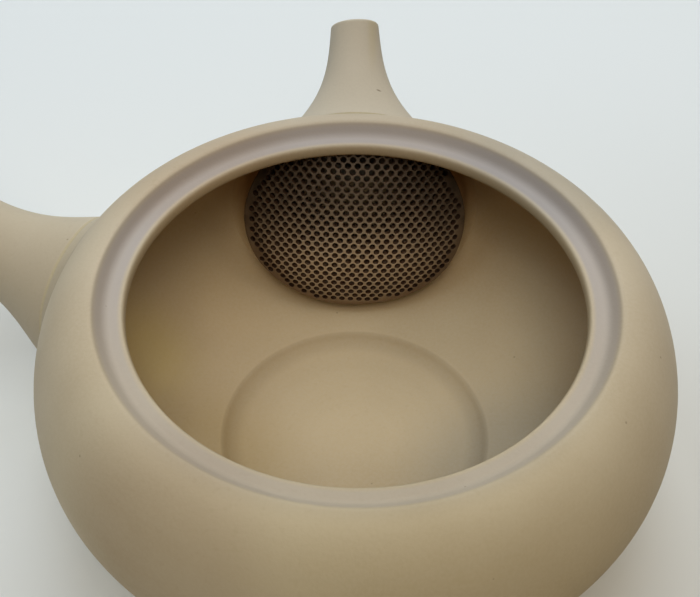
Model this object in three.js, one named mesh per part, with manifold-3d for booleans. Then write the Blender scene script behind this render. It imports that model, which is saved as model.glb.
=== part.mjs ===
// A Japanese side-handled teapot (kyusu) of unglazed clay, with its lid taken off and lying beside it.
// Millimetres, +Z up. The origin is the middle of the flat foot that the pot stands on.
// The spout points along +Y. The hollow handle points along -X, turned a little towards the spout.
// A pull is how far a curve runs straight on from its end, as a share of its way out and of its way up.

import * as THREE from 'three';
import { mergeVertices } from 'three/addons/utils/BufferGeometryUtils.js';
import Module from 'manifold-3d';

const wasm = await Module();
wasm.setup();

const pull = (out, up) => new THREE.Vector2(out, up);

// Gap left at each joint of fired clay, where one piece was pressed onto another
const jointGap = 0.3;

// Mouth and rim: a rounded lip round the mouth, a sunk seat for the lid, and a band up to the rim's edge
const mouthRadius = 36.2;
const lipWidth = 1.1;
const lipDepth = 1.5;
const seatWidth = 1.8;
const seatDepth = 1.9;
const bandWidth = 1.9;
const bandEdge = 0.4;
const rimEdge = 0.6;
const rimThickness = 3.3;
const seatRadius = mouthRadius + lipWidth + seatWidth;
const rimRadius = seatRadius + bandWidth;

// Pot, outside
const rimHeight = 46;
const bellyRadius = 52.8;
const bellyHeight = 27;
const footRadius = 34.5;
const footEdge = 0.8;
const footPull = pull(0.41, 0.45);
const bellyUnderPull = pull(0, 0.46);
const bellyOverPull = pull(0, 0.38);
const shoulderPull = pull(0.62, 0.04);

// Pot, inside
const wall = 3.2;
const baseThickness = 5.1;
const wellDepth = 2;
const wellRadius = 24.3;
const wellSlope = 4.5;
const wellEdge = 0.8;
const roofReach = 2;
const roofPull = pull(0.58, 0.03);
const insideOverPull = pull(0, 0.54);
const insideUnderPull = pull(0, 0.6);
const floorPull = pull(0.44, 0.05);

// Spout
const spoutReach = 18.6;
const spoutTipRise = 1.1;
const spoutTurn = 1;
const spoutTipRadius = 4.7;
const spoutTipWall = 1.1;
const spoutWall = 2.4;
const spoutRootRadius = 16.6;
const spoutRootSpread = 1.34;
const spoutRootInset = 10.8;
const spoutRootHeight = 29.2;
const spoutBendReach = 4;
const spoutBendHeight = 34.2;
const spoutRootPull = pull(0.26, 0.28);
const spoutTipPull = pull(0, 0.46);
const portRadius = 7.5;

// Handle
const handleLength = 62;
const handleBearing = 19.5;
const handleTurn = 17;
const handleTilt = 20;
const handleHeight = 25.3;
const handleRootRadius = 15.4;
const handleHeelRadius = 9;
const handleHeelInset = 12;
const handleFlareStart = 2.5;
const handleWaistRadius = 7.6;
const handleWaistAt = 24;
const handleEndRadius = 10.5;
const handleEndRound = 1.5;
const handleWall = 3;
const handleHeelPull = pull(0.55, 0.1);
const handleFlareInPull = pull(0, 0.5);
const handleRootPull = pull(0.2, 0.22);
const handleWaistPull = pull(0, 0.46);
const handleEndPull = pull(0.2, 0.28);

// Strainer: a pierced dome with a collar that runs back to the wall round the spout's port
const strainerRadius = 20.3;
const strainerCurve = 42.8;
const strainerWall = 1.8;
const strainerTilt = 18;
const strainerHeight = 27.8;
const strainerStandOff = 14.3;
const strainerTurn = 1;
const strainerShoulder = 1;
const strainerBorder = 1.2;
const holeRadius = 0.75;
const holePitch = 2.92;
const holeRowPitch = 1.85;

// Lid and its knob
const lidSeatClearance = 0.35;
const lidThickness = 2.2;
const lidDomeRise = 8;
const lidEdge = 0.4;
const lidCrownPull = pull(0.5, 0);
const lidShoulderPull = pull(0.24, 0.38);
const lidHollowPull = pull(0.48, 0);
const lidHollowEdgePull = pull(0.2, 0.35);
const spigotClearance = 0.8;
const spigotDepth = 6;
const spigotWall = 3.2;
const spigotTaper = 0.8;
const ventRadius = 1.2;
const ventOffset = 14;
const knobRadius = 8.2;
const knobNeckRadius = 4.8;
const knobNeckHeight = 3;
const knobFillet = 1.6;
const knobHeight = 13;
const knobWidestAt = 8.6;
const knobNeckPull = pull(0.12, 0.35);
const knobUnderPull = pull(0, 0.64);
const knobSidePull = pull(0, 0.82);
const knobTopPull = pull(0.6, 0);

// Place of the lid on the table
const lidBearing = -144;
const lidDistanceGap = 3.4;

// Facets: turns of the round pieces, and steps of each curve of an outline
const potSides = 48;
const tubeSides = 20;
const strainerSides = 24;
const lidSides = 40;
const knobSides = 20;
const ventSides = 10;
const holeSides = 6;
const curveSteps = 3;

const degrees = THREE.MathUtils.degToRad;
const point = (radius, height) => new THREE.Vector2(radius, height);

function clayMaterial() {
  return new THREE.MeshStandardMaterial({ color: 0xb1a48c, roughness: 0.85, metalness: 0 });
}

function strainerMaterial() {
  return new THREE.MeshStandardMaterial({ color: 0x7a6650, roughness: 0.9, metalness: 0 });
}

// Closed solid from a geometry, with its equal points merged and its empty triangles left out
function toSolid(geometry) {
  const bare = geometry.clone();
  bare.deleteAttribute('normal');
  bare.deleteAttribute('uv');
  const merged = mergeVertices(bare, 1e-4);
  const corners = merged.index.array;
  const kept = [];
  for (let i = 0; i < corners.length; i += 3) {
    const [a, b, c] = corners.slice(i, i + 3);
    if (a !== b && b !== c && c !== a) kept.push(a, b, c);
  }
  return new wasm.Manifold(new wasm.Mesh({
    numProp: 3,
    vertProperties: new Float32Array(merged.attributes.position.array),
    triVerts: new Uint32Array(kept),
  }));
}

// Named mesh from a closed solid
function toMesh(name, solid, material) {
  const { vertProperties, triVerts } = solid.getMesh();
  const geometry = new THREE.BufferGeometry();
  geometry.setAttribute('position', new THREE.BufferAttribute(vertProperties, 3));
  geometry.setIndex(new THREE.BufferAttribute(triVerts, 1));
  geometry.computeVertexNormals();
  const mesh = new THREE.Mesh(geometry, material);
  mesh.name = name;
  return mesh;
}

// Geometry turned about +Z from an outline of (radius, height) points
function turned(points, sides) {
  return new THREE.LatheGeometry(points, sides).rotateX(Math.PI / 2);
}

// Cylinder along +Z, centred on the origin
function rod(radius, length, sides) {
  return new THREE.CylinderGeometry(radius, radius, length, sides).rotateX(Math.PI / 2);
}

// Direction that lies a given bearing round from +Y (towards -X) and a given tilt above the level
function direction(bearing, tilt) {
  const level = Math.cos(degrees(tilt));
  return new THREE.Vector3(
    -Math.sin(degrees(bearing)) * level,
    Math.cos(degrees(bearing)) * level,
    Math.sin(degrees(tilt)),
  );
}

// Turn that carries +Z onto a direction and keeps X level
function aim(towards) {
  const side = new THREE.Vector3(0, 0, 1).cross(towards).normalize();
  const up = towards.clone().cross(side);
  return new THREE.Matrix4().makeBasis(side, up, towards);
}

// Outline through (radius, height) points, each joined to the last by a curve with its two pulls
function swell(start, ...curves) {
  const path = new THREE.Path();
  path.moveTo(start.x, start.y);
  for (const [startPull, end, endPull] of curves) {
    const from = path.currentPoint.clone();
    const way = end.clone().sub(from);
    const first = way.clone().multiply(startPull).add(from);
    const last = end.clone().sub(way.multiply(endPull));
    path.bezierCurveTo(first.x, first.y, last.x, last.y, end.x, end.y);
  }
  return path.getPoints(2 * curveSteps);
}

// Radius of an outline at a height, from the points on each side of it
function radiusAt(points, height) {
  const above = (entry) => entry.y > height;
  const next = points.findIndex((entry, i) => i > 0 && above(entry) !== above(points[i - 1]));
  const [low, high] = [points[next - 1], points[next]];
  return THREE.MathUtils.mapLinear(height, low.y, high.y, low.x, high.x);
}

// Pot's outer face from the foot's edge up to the rim's edge, grown by a gap
function outerFace(gap = 0) {
  return swell(
    point(footRadius + gap, footEdge - gap),
    [footPull, point(bellyRadius + gap, bellyHeight), bellyUnderPull],
    [bellyOverPull, point(rimRadius + rimEdge + gap, rimHeight + gap), shoulderPull],
  );
}

const lipHeight = rimHeight - seatDepth - lipDepth;
const roofHeight = rimHeight - seatDepth - rimThickness;
const floorHeight = baseThickness + wellDepth;

// Pot's inner face from the lip's underside out to the belly and down to the well, shrunk by a gap
function innerFace(gap = 0) {
  return swell(
    point(mouthRadius + roofReach, roofHeight - gap),
    [roofPull, point(bellyRadius - wall - gap, bellyHeight), insideOverPull],
    [insideUnderPull, point(wellRadius + wellEdge, floorHeight + gap), floorPull],
  );
}

// Rim from the outer face to the inner face: band, seat, lip, and the lip's rounded underside
function rimOutline() {
  const seatHeight = rimHeight - seatDepth;
  const path = new THREE.Path();
  path.moveTo(rimRadius + rimEdge, rimHeight);
  path.quadraticCurveTo(rimRadius, rimHeight, rimRadius - bandEdge, rimHeight - bandEdge);
  path.quadraticCurveTo(seatRadius + bandEdge, seatHeight + bandEdge, seatRadius, seatHeight);
  path.lineTo(seatRadius - seatWidth, seatHeight);
  path.quadraticCurveTo(mouthRadius, seatHeight, mouthRadius, lipHeight);
  path.quadraticCurveTo(mouthRadius, roofHeight, mouthRadius + roofReach, roofHeight);
  return path.getPoints(curveSteps).slice(1, -1);
}

// Well in the floor, from its edge down its slope to its middle
function wellOutline() {
  const path = new THREE.Path();
  path.moveTo(wellRadius, floorHeight - wellEdge / 4);
  path.quadraticCurveTo(wellRadius - wellSlope / 2, baseThickness, wellRadius - wellSlope, baseThickness);
  path.lineTo(0, baseThickness);
  return path.getPoints(curveSteps);
}

// Spout's middle line from inside the wall to the mouth, in the plane x = 0
const spoutLine = new THREE.QuadraticBezierCurve3(
  new THREE.Vector3(0, bellyRadius - spoutRootInset, spoutRootHeight),
  new THREE.Vector3(0, bellyRadius + spoutBendReach, spoutBendHeight),
  new THREE.Vector3(0, bellyRadius + spoutReach, rimHeight + spoutTipRise),
);

const spoutLength = spoutLine.getLength();

// Spout's side from its root to its tip, inset by the wall at each
function spoutFace(rootInset, tipInset) {
  return swell(
    point(spoutRootRadius - rootInset, 0),
    [spoutRootPull, point(spoutTipRadius - tipInset, spoutLength - spoutTipWall / 2), spoutTipPull],
  );
}

// Tube bent along the spout's line, with a rounded mouth, and wider than it is high at its root
function spoutTube() {
  const outline = [
    ...spoutFace(0, 0),
    point(spoutTipRadius - spoutTipWall / 4, spoutLength),
    point(spoutTipRadius - 3 * spoutTipWall / 4, spoutLength),
    ...spoutFace(spoutWall, spoutTipWall).reverse(),
    point(spoutRootRadius, 0),
  ];
  const geometry = turned(outline, tubeSides);
  const points = geometry.attributes.position;
  const at = new THREE.Vector3();
  for (let i = 0; i < points.count; i += 1) {
    at.fromBufferAttribute(points, i);
    const share = THREE.MathUtils.clamp(at.z / spoutLength, 0, 1);
    const along = spoutLine.getTangentAt(share);
    const across = new THREE.Vector3(0, along.z, -along.y);
    const centre = spoutLine.getPointAt(share).addScaledVector(across, at.y);
    const spread = THREE.MathUtils.lerp(spoutRootSpread, 1, share);
    points.setXYZ(i, at.x * spread, centre.y, centre.z);
  }
  return toSolid(geometry);
}

// Solid turned about the pot's axis
const bearingTo = (solid, bearing) => solid.rotate([0, 0, bearing]);

// Pot's filled outer shape, grown by the joint's gap, which the spout and the handle are cut by
function potShape() {
  const outline = [point(0, 0), ...outerFace(jointGap), point(0, rimHeight + jointGap)];
  return toSolid(turned(outline, potSides));
}

// Space inside the pot, shrunk by the joint's gap, which the strainer is cut to
function potSpace() {
  const outline = [
    point(0, floorHeight + jointGap),
    ...innerFace(jointGap).reverse(),
    point(0, roofHeight - jointGap),
  ];
  return toSolid(turned(outline, potSides));
}

// Round port through the wall, in line with the spout's root
function port() {
  const share = spoutRootInset / spoutLength;
  const centre = spoutLine.getPointAt(share);
  const bore = rod(portRadius, 4 * wall, tubeSides).applyMatrix4(aim(spoutLine.getTangentAt(share)));
  return toSolid(bore.translate(centre.x, centre.y, centre.z));
}

// Pot's shell with its flat foot, rim and port
function pot() {
  const outline = [
    point(0, 0),
    point(footRadius - footEdge, 0),
    ...outerFace(),
    ...rimOutline(),
    ...innerFace(),
    ...wellOutline(),
  ];
  return toSolid(turned(outline, potSides)).subtract(bearingTo(port(), spoutTurn));
}

// Spout, cut to the wall's outer face
function spout() {
  return bearingTo(spoutTube(), spoutTurn).subtract(potShape());
}

// Handle's side from its heel inside the wall along its flare and waist to its end, inset by the wall
function handleFace(inset) {
  const heel = point(handleHeelRadius - inset, -handleHeelInset);
  const root = point(handleRootRadius - inset, -handleFlareStart);
  const waist = point(handleWaistRadius - inset, handleWaistAt);
  const end = point(handleEndRadius - inset, handleLength - handleEndRound);
  return swell(
    heel,
    [handleHeelPull, root, handleFlareInPull],
    [handleRootPull, waist, handleWaistPull],
    [handleWaistPull, end, handleEndPull],
  );
}

// Hollow handle with a rounded open end, cut to the wall's outer face
function handle() {
  const outline = [
    ...handleFace(0),
    point(handleEndRadius - handleEndRound / 3, handleLength - handleEndRound / 3),
    point(handleEndRadius - handleEndRound, handleLength),
    point(handleEndRadius - handleWall + handleEndRound / 2, handleLength - handleEndRound / 3),
    ...handleFace(handleWall).reverse(),
    point(handleHeelRadius, -handleHeelInset),
  ];
  const root = direction(90 - handleBearing, 0).multiplyScalar(radiusAt(outerFace(), handleHeight));
  const tube = turned(outline, tubeSides).applyMatrix4(aim(direction(90 - handleTurn, handleTilt)));
  return toSolid(tube.translate(root.x, root.y, handleHeight)).subtract(potShape());
}

// Strainer's shell before it is pierced: dome, rounded shoulder and collar, with its axis along +Z
function strainerOutline(collar) {
  const dome = Math.asin((strainerRadius - strainerShoulder) / strainerCurve);
  const centre = -strainerCurve * Math.cos(Math.asin(strainerRadius / strainerCurve));
  const path = new THREE.Path();
  path.absarc(0, centre, strainerCurve - strainerWall, Math.PI / 2, Math.PI / 2 - dome, true);
  path.lineTo(strainerRadius - strainerWall, -collar);
  path.lineTo(strainerRadius, -collar);
  path.lineTo(strainerRadius, -strainerShoulder);
  path.absarc(0, centre, strainerCurve, Math.PI / 2 - dome, Math.PI / 2, false);
  return path.getPoints(curveSteps + 1);
}

// Staggered rows of holes, punched along the strainer's axis inside its border
function strainerHoles() {
  const reach = strainerRadius - strainerWall - strainerBorder - holeRadius;
  const rows = Math.floor(reach / holeRowPitch);
  const columns = Math.ceil(reach / holePitch);
  const holes = [];
  for (let row = -rows; row <= rows; row += 1) {
    const shift = row % 2 === 0 ? 0 : holePitch / 2;
    for (let column = -columns; column <= columns; column += 1) {
      const x = column * holePitch + shift;
      const y = row * holeRowPitch;
      if (Math.hypot(x, y) <= reach) {
        holes.push(toSolid(rod(holeRadius, strainerCurve, holeSides).translate(x, y, 0)));
      }
    }
  }
  return wasm.Manifold.union(holes);
}

// Strainer, cut to the pot's inner face
function strainer() {
  const shell = toSolid(turned(strainerOutline(bellyRadius), strainerSides)).subtract(strainerHoles());
  const middle = radiusAt(innerFace(), strainerHeight) - strainerStandOff;
  const placing = aim(direction(180, strainerTilt)).setPosition(0, middle, strainerHeight);
  return bearingTo(shell.transform(placing.elements), strainerTurn).intersect(potSpace());
}

// Radii of the lid that follow the seat it lies on and the mouth that its spigot enters
const lidRadius = seatRadius - lidSeatClearance;
const spigotRadius = mouthRadius - spigotClearance;
const lidTop = spigotDepth + lidThickness + lidDomeRise;

// Lid before its vent is bored, standing on its spigot
function lidShell() {
  const edgeTop = point(lidRadius - lidEdge, spigotDepth + lidThickness);
  const hollowEdge = point(spigotRadius - spigotWall, spigotDepth - spigotTaper);
  const outline = [
    ...swell(point(0, lidTop - lidThickness), [lidHollowPull, hollowEdge, lidHollowEdgePull]),
    point(spigotRadius - spigotWall + spigotTaper, 0),
    point(spigotRadius - spigotTaper, 0),
    point(spigotRadius, spigotDepth),
    point(lidRadius - lidEdge, spigotDepth),
    point(lidRadius, spigotDepth + lidEdge),
    point(lidRadius, edgeTop.y - lidEdge),
    ...swell(edgeTop, [lidShoulderPull, point(0, lidTop), lidCrownPull]),
  ];
  return toSolid(turned(outline, lidSides));
}

// Lid with its vent hole beside the knob
function lid() {
  const vent = rod(ventRadius, 4 * lidThickness, ventSides).translate(ventOffset, 0, lidTop - lidThickness);
  return lidShell().subtract(toSolid(vent));
}

// Round knob on the middle of the lid, cut to the lid's top
function knob() {
  const neck = point(knobNeckRadius, lidTop + knobNeckHeight);
  const widest = point(knobRadius, lidTop + knobWidestAt);
  const outline = [
    point(0, lidTop - lidThickness / 2),
    point(knobNeckRadius + knobFillet, lidTop - lidThickness / 2),
    point(knobNeckRadius + knobFillet, lidTop),
    point(knobNeckRadius + knobFillet / 3, lidTop + knobFillet / 2),
    ...swell(
      neck,
      [knobNeckPull, widest, knobUnderPull],
      [knobSidePull, point(0, lidTop + knobHeight), knobTopPull],
    ),
  ];
  return toSolid(turned(outline, knobSides)).subtract(lidShell().translate([0, 0, jointGap]));
}

const kyusu = new THREE.Group();
kyusu.add(toMesh('pot_body', pot(), clayMaterial()));
kyusu.add(toMesh('spout', spout(), clayMaterial()));
kyusu.add(toMesh('side_handle', handle(), clayMaterial()));
kyusu.add(toMesh('strainer', strainer(), strainerMaterial()));

// The lid lies on the table clear of the pot's belly
const cover = new THREE.Group();
cover.add(toMesh('lid', lid(), clayMaterial()));
cover.add(toMesh('lid_knob', knob(), clayMaterial()));
cover.position.copy(direction(lidBearing, 0).multiplyScalar(bellyRadius + lidDistanceGap + lidRadius));
kyusu.add(cover);

export default kyusu;
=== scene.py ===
"""Looks of a Japanese side-handled teapot of unglazed clay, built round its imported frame.

Lengths are in millimetres, as on the object, and turn into metres where a mesh or a light is made.
The frame is the object's own: +Z up from the foot, +Y towards the spout, -X towards the handle.
A pull is how far a curve runs straight on from its end, as a share of its way out and of its way up.
"""

import math

import bmesh
import bpy
import numpy as np
from mathutils import Matrix, Vector
from mathutils.geometry import delaunay_2d_cdt


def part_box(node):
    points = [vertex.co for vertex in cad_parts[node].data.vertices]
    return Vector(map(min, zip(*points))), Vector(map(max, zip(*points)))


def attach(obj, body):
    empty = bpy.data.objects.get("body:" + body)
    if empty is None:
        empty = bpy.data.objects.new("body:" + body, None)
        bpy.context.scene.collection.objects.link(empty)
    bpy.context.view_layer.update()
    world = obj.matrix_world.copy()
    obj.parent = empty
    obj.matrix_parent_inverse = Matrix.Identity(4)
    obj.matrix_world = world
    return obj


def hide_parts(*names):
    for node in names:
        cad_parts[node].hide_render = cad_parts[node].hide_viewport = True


MM = 0.001

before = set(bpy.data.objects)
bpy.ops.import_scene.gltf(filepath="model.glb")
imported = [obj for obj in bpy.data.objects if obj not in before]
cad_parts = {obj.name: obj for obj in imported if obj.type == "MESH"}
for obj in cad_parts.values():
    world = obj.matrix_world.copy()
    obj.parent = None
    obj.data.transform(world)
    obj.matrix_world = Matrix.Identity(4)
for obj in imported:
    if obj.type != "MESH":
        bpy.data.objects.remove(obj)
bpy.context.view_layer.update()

# Rim, taken from the pot's outer edge inwards
MOUTH_RADIUS = 36.2
LIP_WIDTH = 0.75
LIP_DEPTH = 1.5
SEAT_WIDTH = 2.15
SEAT_DEPTH = 1.9
BAND_WIDTH = 1.9
BAND_EDGE = 0.4
BAND_FOOT = 0.75
RIM_EDGE = 0.6
RIM_THICKNESS = 2.7
SEAT_RADIUS = MOUTH_RADIUS + LIP_WIDTH + SEAT_WIDTH
RIM_RADIUS = SEAT_RADIUS + BAND_WIDTH

# Pot, its height and belly as the frame has them
RIM_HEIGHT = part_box("pot_body")[1].z / MM
BELLY_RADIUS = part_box("pot_body")[1].x / MM
BELLY_HEIGHT = 27
FOOT_RADIUS = 34.5
FOOT_EDGE = 0.8
FOOT_PULL = (0.41, 0.45)
BELLY_UNDER_PULL = (0, 0.46)
BELLY_OVER_PULL = (0, 0.38)
SHOULDER_PULL = (0.62, 0.04)
WALL = 3.2
BASE_THICKNESS = 5.1
WELL_DEPTH = 2
WELL_RADIUS = 24.3
WELL_SLOPE = 4.5
WELL_EDGE = 0.8
ROOF_REACH = 2
ROOF_PULL = (0.58, 0.03)
INSIDE_OVER_PULL = (0, 0.54)
INSIDE_UNDER_PULL = (0, 0.6)
FLOOR_PULL = (0.44, 0.05)

# Spout
SPOUT_REACH = 18.6
SPOUT_TIP_RISE = 1.1
SPOUT_TURN = 1
SPOUT_ROOT_SHIFT = 0.75
SPOUT_TIP_SLANT = 0.6
SPOUT_TIP_DROP = 0.15
SPOUT_TIP_POWER = 8
SPOUT_TIP_RADIUS = 4.75
SPOUT_TIP_WALL = 1.1
SPOUT_WALL = 2.4
SPOUT_ROOT_RADIUS = 16.6
SPOUT_ROOT_SPREAD = 1.63
SPOUT_ROOT_INSET = 10.8
SPOUT_ROOT_HEIGHT = 29.2
SPOUT_BEND_REACH = 4
SPOUT_BEND_HEIGHT = 34.2
SPOUT_ROOT_PULL = (0.98, 0.52)
SPOUT_TIP_PULL = (0, 0.32)
PORT_RADIUS = 7.5

# Handle
HANDLE_LENGTH = 62
HANDLE_BEARING = 19.5
HANDLE_TURN = 17
HANDLE_TILT = 20
HANDLE_HEIGHT = 25.3
HANDLE_HEEL_RADIUS = 9
HANDLE_HEEL_INSET = 12
HANDLE_FLARE_START = 2.5
HANDLE_ROOT_RADIUS = 15.4
HANDLE_WAIST_RADIUS = 7.5
HANDLE_WAIST_AT = 21
HANDLE_END_RADIUS = 10.5
HANDLE_END_ROUND = 1.5
HANDLE_WALL = 3
HANDLE_HEEL_PULL = (0.55, 0.1)
HANDLE_FLARE_IN_PULL = (0, 0.5)
HANDLE_ROOT_PULL = (0.27, 0.3)
HANDLE_WAIST_PULL = (0, 0.5)
HANDLE_END_PULL = (0.2, 0.28)

# Seam of a pressed-on piece: how far off the wall it runs, its groove, and the fillet from it to the wall
SPOUT_SEAM_OFF = 0.9
HANDLE_SEAM_OFF = 1.9
SEAM_WIDTH = 0.6
SEAM_DEPTH = 0.1
SEAM_DEEPEST = 0.4
SEAM_SINK = 0.5
SEAM_FILLET = ((0.2, 0.8), (0.45, 0.56), (0.75, 0.32), (1.05, 0.14), (1.4, 0.02), (1.7, -0.1))

# Strainer: a cap of a sphere, with (bearing, radius) points round it and a net of holes wrapped over it
STRAINER_CURVE = 42.8
STRAINER_RADIUS = 20.3
STRAINER_OUTLINE = (
    (-155, 21.3), (-120, 19.3), (-80, 18.5), (-35, 21.5), (0, 21.2), (30, 20), (150, 20), (180, 21.3),
)
OUTLINE_SMOOTHINGS = 40
STRAINER_TILT = 18
STRAINER_HEIGHT = 27.8
STRAINER_DEPTH_AT = 35.2
STRAINER_TURN = 1
STRAINER_WALL = 1.8
STRAINER_SHOULDER = 0.25
STRAINER_BORDER = 0.05
STRAINER_BURY = 1.2
HOLE_PITCH = 1.786
HOLE_ROW_PITCH = 1.126
HOLE_RADIUS = 0.6
HOLE_CHAMFER = 0.06
HOLE_TAPER = 0.05
HOLE_FILL = 0.98
NET_TILT = 28.4
NET_TURN = 2.3
NET_ROLL = -2.8
NET_OFFSET = (-0.91, -7.27)
NET_ROWS = 40
NET_COLUMNS = 60
NET_REACH = 1.2

# Clay smoothed on round the strainer: how steeply it runs back to the wall, and how far it sinks into it
SMEAR_SLOPE = 66
SMEAR_SINK = 0.3
SMEAR_LEAN = 0.7
SMEAR_REACH = 40

# Lid and knob
LID_SEAT_CLEARANCE = 0.35
LID_THICKNESS = 2.2
LID_DOME_RISE = 8
LID_EDGE = 0.4
LID_CROWN_PULL = (0.5, 0)
LID_SHOULDER_PULL = (0.24, 0.38)
LID_HOLLOW_PULL = (0.48, 0)
LID_HOLLOW_EDGE_PULL = (0.2, 0.35)
SPIGOT_CLEARANCE = 0.8
SPIGOT_DEPTH = 6
SPIGOT_WALL = 3.2
SPIGOT_TAPER = 0.8
SPIGOT_EDGE = 0.5
VENT_RADIUS = 1.2
VENT_OFFSET = 14
KNOB_RADIUS = 8.2
KNOB_NECK_RADIUS = 4.8
KNOB_NECK_HEIGHT = 3
KNOB_FILLET = 1.6
KNOB_SINK = 0.2
KNOB_HEIGHT = 13
KNOB_WIDEST_AT = 8.6
KNOB_NECK_PULL = (0.12, 0.35)
KNOB_UNDER_PULL = (0, 0.64)
KNOB_SIDE_PULL = (0, 0.82)
KNOB_TOP_PULL = (0.6, 0)

# Fineness of the meshes
POT_SIDES = 256
TUBE_SIDES = 96
LID_SIDES = 192
HOLE_SIDES = 14
BORE_SIDES = 48
FLOOR_SIDES = 64
CURVE_STEPS = 24
CORNER_STEPS = 8
SPOUT_LINE_STEPS = 400
SPOUT_SIDE_STEPS = 160
SPOUT_TIP_POINTS = 7
HANDLE_SIDE_STEPS = 90
WELL_POINTS = 12
FOOT_POINTS = 8
OUTSIDE_RINGS = 90
INSIDE_RINGS = 60
BORDER_POINTS = 240
TILT_POINTS = 240
SHOULDER_RINGS = 6
COLLAR_RINGS = 8
COLLAR_TRIES = 400
SMEAR_TRIES = 800
SMEAR_POINTS = 13
SLOPE_STEP = 0.05
SAME_POINT = 1e-4
SAME_NET_POINT = 1e-6
SHARP_ANGLE = math.radians(38)
STRAINER_SHARP_ANGLE = math.radians(30)


def swell(start, *curves, steps=CURVE_STEPS):
    """Points through (radius, height) ends, each joined to the last by a curve with its two pulls."""
    start = np.array(start, float)
    points = [start]
    for start_pull, end, end_pull in curves:
        end = np.array(end, float)
        way = end - start
        first = start + way * start_pull
        last = end - way * end_pull
        for t in np.linspace(0, 1, steps + 1)[1:]:
            points.append(
                (1 - t) ** 3 * start + 3 * t * (1 - t) ** 2 * first
                + 3 * t * t * (1 - t) * last + t ** 3 * end
            )
        start = end
    return np.array(points)


def bend(start, corner, end, steps=CORNER_STEPS):
    """Points of a rounded corner between two (radius, height) ends."""
    start, corner, end = (np.array(p, float) for p in (start, corner, end))
    t = np.linspace(0, 1, steps + 1)[:, None]
    return (1 - t) ** 2 * start + 2 * t * (1 - t) * corner + t * t * end


def chain(*parts):
    """One outline from several, without doubled points."""
    points = np.vstack([np.atleast_2d(np.array(p, float)) for p in parts])
    kept = [points[0]]
    for p in points[1:]:
        if np.hypot(*(p - kept[-1])) > SAME_POINT:
            kept.append(p)
    return np.array(kept)


def linked(name, data):
    """New object in the scene."""
    obj = bpy.data.objects.new(name, data)
    bpy.context.scene.collection.objects.link(obj)
    return obj


def new_object(name, vertices, faces, sharp=SHARP_ANGLE):
    """Smooth-shaded object from points in millimetres."""
    mesh = bpy.data.meshes.new(name)
    mesh.from_pydata((np.asarray(vertices, float) * MM).tolist(), [], faces)
    mesh.validate()
    mesh.shade_smooth()
    mesh.set_sharp_from_angle(angle=sharp)
    return linked(name, mesh)


def full_turn(count):
    """Even angles round a full turn."""
    return np.arange(count) * 2 * math.pi / count


def grid_faces(rows, columns, closed=False):
    """Quads between rings of points. Closed, the last ring meets the first, and the quads are turned over."""
    faces = []
    for i in range(rows if closed else rows - 1):
        low, high = i * columns, (i + 1) % rows * columns
        for j in range(columns):
            k = (j + 1) % columns
            quad = [low + j, low + k, high + k, high + j]
            faces.append(quad[::-1] if closed else quad)
    return faces


def turned(outline, sides):
    """Vertices and faces of an outline turned about +Z, whose two ends lie on the axis."""
    angles = full_turn(sides)
    rings = outline[1:-1]
    x = rings[:, 0, None] * np.cos(angles)
    y = rings[:, 0, None] * np.sin(angles)
    z = np.repeat(rings[:, 1, None], sides, axis=1)
    vertices = np.stack([x, y, z], axis=2).reshape(-1, 3)
    ends = [[0, 0, outline[0, 1]], [0, 0, outline[-1, 1]]]
    faces = grid_faces(len(rings), sides)
    count = len(vertices)
    last = count - sides
    for j in range(sides):
        k = (j + 1) % sides
        faces.append([count, k, j])
        faces.append([count + 1, last + j, last + k])
    return np.vstack([vertices, ends]), faces


def direction(bearing, tilt):
    """Unit vector at a bearing round from +Y (towards -X) and a tilt above the level, in degrees."""
    b, t = math.radians(bearing), math.radians(tilt)
    return np.array([-math.sin(b) * math.cos(t), math.cos(b) * math.cos(t), math.sin(t)])


def unit(v):
    """Rows of v, each of length 1."""
    return v / np.linalg.norm(v, axis=-1, keepdims=True)


def turn_about_z(points, bearing):
    """Points turned about the pot's axis, in degrees."""
    b = math.radians(bearing)
    x, y, z = points[..., 0], points[..., 1], points[..., 2]
    return np.stack([x * math.cos(b) - y * math.sin(b), x * math.sin(b) + y * math.cos(b), z], axis=-1)


# Pot's outlines, which run from the middle of its underside up to its rim, and down inside to its well
def outer_face():
    return swell(
        (FOOT_RADIUS, FOOT_EDGE),
        (FOOT_PULL, (BELLY_RADIUS, BELLY_HEIGHT), BELLY_UNDER_PULL),
        (BELLY_OVER_PULL, (RIM_RADIUS + RIM_EDGE, RIM_HEIGHT), SHOULDER_PULL),
    )


ROOF_HEIGHT = RIM_HEIGHT - SEAT_DEPTH - RIM_THICKNESS
FLOOR_HEIGHT = BASE_THICKNESS + WELL_DEPTH


def inner_face():
    return swell(
        (MOUTH_RADIUS + ROOF_REACH, ROOF_HEIGHT),
        (ROOF_PULL, (BELLY_RADIUS - WALL, BELLY_HEIGHT), INSIDE_OVER_PULL),
        (INSIDE_UNDER_PULL, (WELL_RADIUS + WELL_EDGE, FLOOR_HEIGHT), FLOOR_PULL),
    )


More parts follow.
